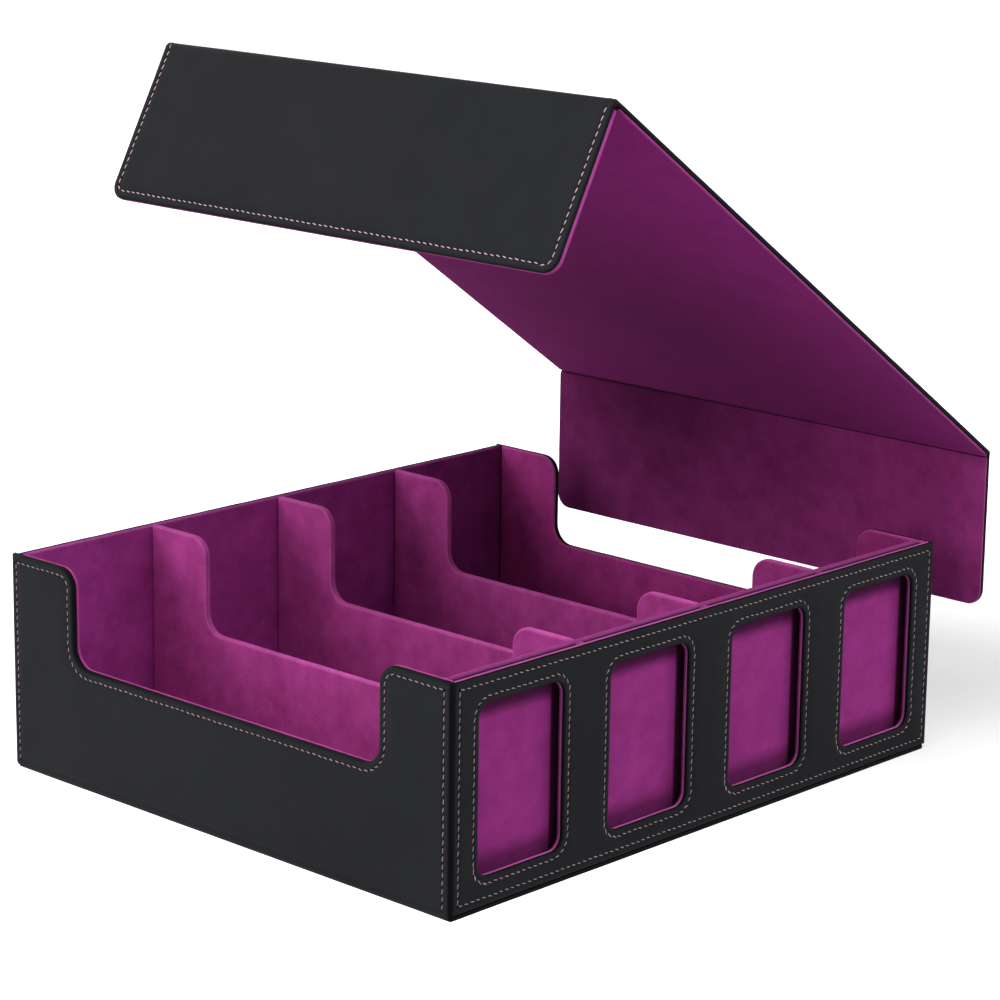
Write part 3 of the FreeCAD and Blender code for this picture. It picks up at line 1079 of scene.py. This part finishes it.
def dividers():
    """Velvet sleeves, sewn along their edge a little off its middle."""
    outline = dipped(BAY_FRONT + CORNER_GAP, BAY_BACK - CORNER_GAP, FLOOR_TOP - TUCK)
    # span of the lighter edges: worn pile and painted highlight
    wear_and_highlight = (BAY_FRONT + CALM, BAY_BACK - CALM)
    for number in DIVIDERS:
        x0, x1 = divider_span(number)
        name = "divider_%d_sleeve" % number
        hidden = ("divider_%d_board" % number, "divider_%d_velvet" % number)
        pile = wrapped(x1 - x0, (x1 - x0) * SLEEVE_SEAM)
        place = from_left(x0)
        seed = 11.0 + number
        plate(name, outline, pile, place, "row_velvet", "box", hidden, seed=seed, wear_and_highlight_span=wear_and_highlight)


# ---------------------------------------------------------------- lid

def downward(angle):
    """Unit vector in the XZ plane, turned from straight down towards -X by degrees."""
    a = math.radians(angle)
    return Vector((-math.sin(a), 0.0, -math.cos(a)))


def leaf_place(crease, run, out, taper=LID_TAPER):
    """Pattern (w from the crease, y, depth) of a lid board; past the crease it curls under the fold."""
    def place(w, y, depth):
        hinge = Vector((crease.x, y, crease.z))
        radius = LID_R - depth
        if w >= 0:
            return hinge + run * w + out * radius
        a = -w / LID_R
        ray = out * math.cos(a) - run * math.sin(a)
        return hinge + ray * (radius * max(THINNEST, 1 + w * taper))
    return place


def double_leaf_place(crease, run, out, length, taper=LID_TAPER):
    """As leaf_place, for the board between two creases."""
    near = leaf_place(crease, run, out, taper)
    far = leaf_place(crease + run * length, -run, out, taper)
    return lambda w, y, depth: near(w, y, depth) if w < length / 2 else far(length - w, y, depth)


def finely(line):
    """The same line with a point every millimetre, to follow the folds."""
    made = [line[0]]
    for a, b in zip(line, line[1:]):
        count = math.ceil((b - a).length)
        made += [a.lerp(b, (i + 1) / count) for i in range(count)]
    return made


def flap_outline(start, corner=0.0):
    """Outline of a flap from a place beside its crease to its rounded end."""
    return Outline(
        (start, LID_FRONT, corner),
        (FLAP_END, LID_FRONT, FLAP_CORNER),
        (FLAP_END, LID_BACK, FLAP_CORNER),
        (start, LID_BACK, corner),
    )


def flap(name, crease, run, out, seam, finish, lined_from):
    """Leather outside and velvet inside of one flap."""
    place = leaf_place(crease, run, out)
    hidden = (name + "_leather", name + "_board")
    plate(
        name + "_cover", flap_outline(-LID_WRAP), skin(seam), place, "lid_leather", name, hidden,
        seed=LID_SEED, folds=FOLD_CUTS,
    )
    hidden = (name + "_velvet",)
    plate(
        name + "_lining", flap_outline(lined_from, LINING_CORNER), lining(seam, LID_SHELL), place, finish,
        name, hidden, seed=LID_SEED, wear_and_highlight_span=(lined_from + CALM, FLAP_END + CALM),
    )
    sewn = flap_outline(-FOLD_STITCH - STITCH_INSET)
    round_fold = leaf_place(crease, run, out, 0.0)
    SEAMS.add(name, finely(sewn.run(STITCH_INSET, 0, 3)), round_fold, -out)


def lid_top(run, up, length):
    """Leather outside and velvet inside of the board between the creases."""
    place = double_leaf_place(RIGHT_CREASE, run, up, length)
    cover = rectangle(-LID_WRAP, length + LID_WRAP, LID_FRONT, LID_BACK)
    hidden = ("lid_top_leather", "lid_top_board")
    plate(
        "lid_top_cover", cover, skin(TOP_SEAM), place, "lid_leather", "lid_top", hidden,
        seed=LID_SEED, folds=FOLD_CUTS + tuple(length - value for value in FOLD_CUTS),
    )
    start = RIGHT_LINING_START
    end = length - LEFT_LINING_START
    inner = rectangle(start, end, LID_FRONT, LID_BACK, LINING_CORNER, LINING_CORNER)
    hidden = ("lid_top_velvet",)
    plate(
        "lid_top_lining", inner, lining(TOP_SEAM, LID_SHELL), place, "lid_velvet", "lid_top", hidden,
        seed=LID_SEED, wear_and_highlight_span=(start + CALM, end - CALM),
    )
    past = FOLD_STITCH + STITCH_INSET
    sewn = rectangle(-past, length + past, LID_FRONT, LID_BACK)
    round_folds = double_leaf_place(RIGHT_CREASE, run, up, length, 0.0)
    for first in (0, 2):
        SEAMS.add("lid_top", finely(sewn.run(STITCH_INSET, first, first + 1)), round_folds, -up)


def fold_place(centre, facing):
    """Pattern (angle round a fold, y, radius) to the frame."""
    side = Vector((facing.z, 0.0, -facing.x))

    def place(a, y, radius):
        return Vector((centre.x, y, centre.z)) + (side * math.cos(a) + facing * math.sin(a)) * radius
    return place


def fold(name, layer, finish, centre, facing, ends):
    """Half-round fold between two boards, drawn in at both ends; ends are (inset, radius)."""
    inset, radius = ends[-1]
    step = (LID_BACK - LID_FRONT - 2 * inset) / FOLD_RINGS
    rings = [(LID_FRONT + drawn_in, r) for drawn_in, r in ends[:-1]]
    rings += [(LID_FRONT + inset + step * k, radius) for k in range(FOLD_RINGS + 1)]
    rings += [(LID_BACK - drawn_in, r) for drawn_in, r in reversed(ends[:-1])]
    bm = bmesh.new()
    bm.verts.layers.float.new("rim")
    angles = [math.pi * k / FOLD_STEPS for k in range(FOLD_STEPS + 1)]
    loops = [[bm.verts.new((a, y, r)) for a in angles] for y, r in rings]
    skin_over(bm, loops)
    bm.faces.new(loops[0])
    bm.faces.new(loops[-1])
    settle(bm, fold_place(centre, facing), LID_SEED)
    keep_piece(name + "_" + layer + "_fold", bm, finish, name, (name + "_" + layer,))


def double_fold(name, centre, outward, valley):
    """Leather on the outer half of a fold and a deep velvet valley on its inner half."""
    turn = reversed(quarter(EDGE_ROUND, LID_R - FOLD_END, 0.0))
    ends = [(inset, LID_R + FOLD_OVER - depth) for inset, depth, rim in turn]
    fold(name, "leather", "lid_leather", centre, outward, ends)
    fold(name, "velvet", "flap_velvet", centre, -outward, [(VALLEY_INSET, valley)])


def lid():
    """Top board, two flaps and the folds between them."""
    run = LEFT_CREASE - RIGHT_CREASE
    run.y = 0.0
    length = run.length
    run.normalize()
    up = Vector((-run.z, 0.0, run.x))
    if up.z < 0:
        up = -up
    lean = downward(FLAP_LEAN)
    out = Vector((lean.z, 0.0, -lean.x))
    straight = downward(0.0)
    aside = Vector((1, 0, 0))
    flap("left_flap", LEFT_CREASE, lean, out, LEFT_FLAP_SEAM, "lid_velvet", LEFT_LINING_START)
    flap("right_flap", RIGHT_CREASE, straight, aside, RIGHT_FLAP_SEAM, "flap_velvet", RIGHT_LINING_START)
    lid_top(run, up, length)
    double_fold("right_crease", RIGHT_CREASE, (up + aside).normalized(), RIGHT_VALLEY)
    double_fold("left_crease", LEFT_CREASE, (up + out).normalized(), LEFT_VALLEY)


# ---------------------------------------------------------------- stage

def camera():
    """Long lens at its place, turned by its azimuth, elevation and roll."""
    made = bpy.data.objects.new("camera", bpy.data.cameras.new("camera"))
    bpy.context.scene.collection.objects.link(made)
    a = math.radians(CAMERA_AZIMUTH)
    e = math.radians(CAMERA_ELEVATION)
    r = math.radians(CAMERA_ROLL)
    back = Vector((math.sin(a) * math.cos(e), -math.cos(a) * math.cos(e), math.sin(e)))
    right = Vector((math.cos(a), math.sin(a), 0.0))
    up = back.cross(right)
    x = right * math.cos(r) + up * math.sin(r)
    y = up * math.cos(r) - right * math.sin(r)
    turn = Matrix((x, y, back)).transposed().to_4x4()
    made.matrix_world = Matrix.Translation(Vector(CAMERA_AT) * MM) @ turn
    made.data.lens = CAMERA_LENS
    made.data.sensor_width = SENSOR
    made.data.clip_start = CLIP_START
    made.data.clip_end = CLIP_END
    bpy.context.scene.camera = made


def soft_light(name, at, size, power):
    """Large square lamp that looks at the middle of the object."""
    light = bpy.data.lights.new(name, "AREA")
    light.size = size
    light.energy = power
    made = bpy.data.objects.new(name, light)
    made.location = at
    made.rotation_euler = (Vector(LAMP_AIM) - Vector(at)).to_track_quat("-Z", "Y").to_euler()
    bpy.context.scene.collection.objects.link(made)


def surroundings():
    """White studio: even light all round, white to the eye."""
    world = bpy.data.worlds.new("studio")
    bpy.context.scene.world = world
    world.use_nodes = True
    sky = Nodes(world.node_tree)
    background = sky.tree.nodes["Background"]
    sky.feed(background.inputs["Color"], sky.blend(sky.seen(), SKY_LIGHT, WHITE))
    sky.feed(background.inputs["Strength"], 1.0)


def floor():
    """Wide white floor of the studio."""
    bm = bmesh.new()
    bmesh.ops.create_grid(bm, x_segments=1, y_segments=1, size=FLOOR_SIZE)
    mesh = bpy.data.meshes.new("floor")
    bm.to_mesh(mesh)
    bm.free()
    mesh.materials.append(plain_white())
    ground = bpy.data.objects.new("floor", mesh)
    bpy.context.scene.collection.objects.link(ground)


def finish_inner_nodes():
    """Finishes for the CAD nodes that stay inside the covers."""
    for name, node in frame["nodes"].items():
        node.data.materials.clear()
        node.data.materials.append(FINISHES["magnet" if name.endswith("magnets") else "board"])


noise.seed_set(NOISE_SEED)
side_wall("left", from_left(LEFT), Vector((1, 0, 0)))
side_wall("right", from_right(RIGHT), Vector((-1, 0, 0)))
back_wall()
inner_front()
front_panel()
slot_strips()
base()
dividers()
lid()
sew_all()
finish_inner_nodes()
floor()
surroundings()
for lamp in LAMPS:
    soft_light(*lamp)
camera()

bpy.context.scene.view_settings.view_transform = "Standard"
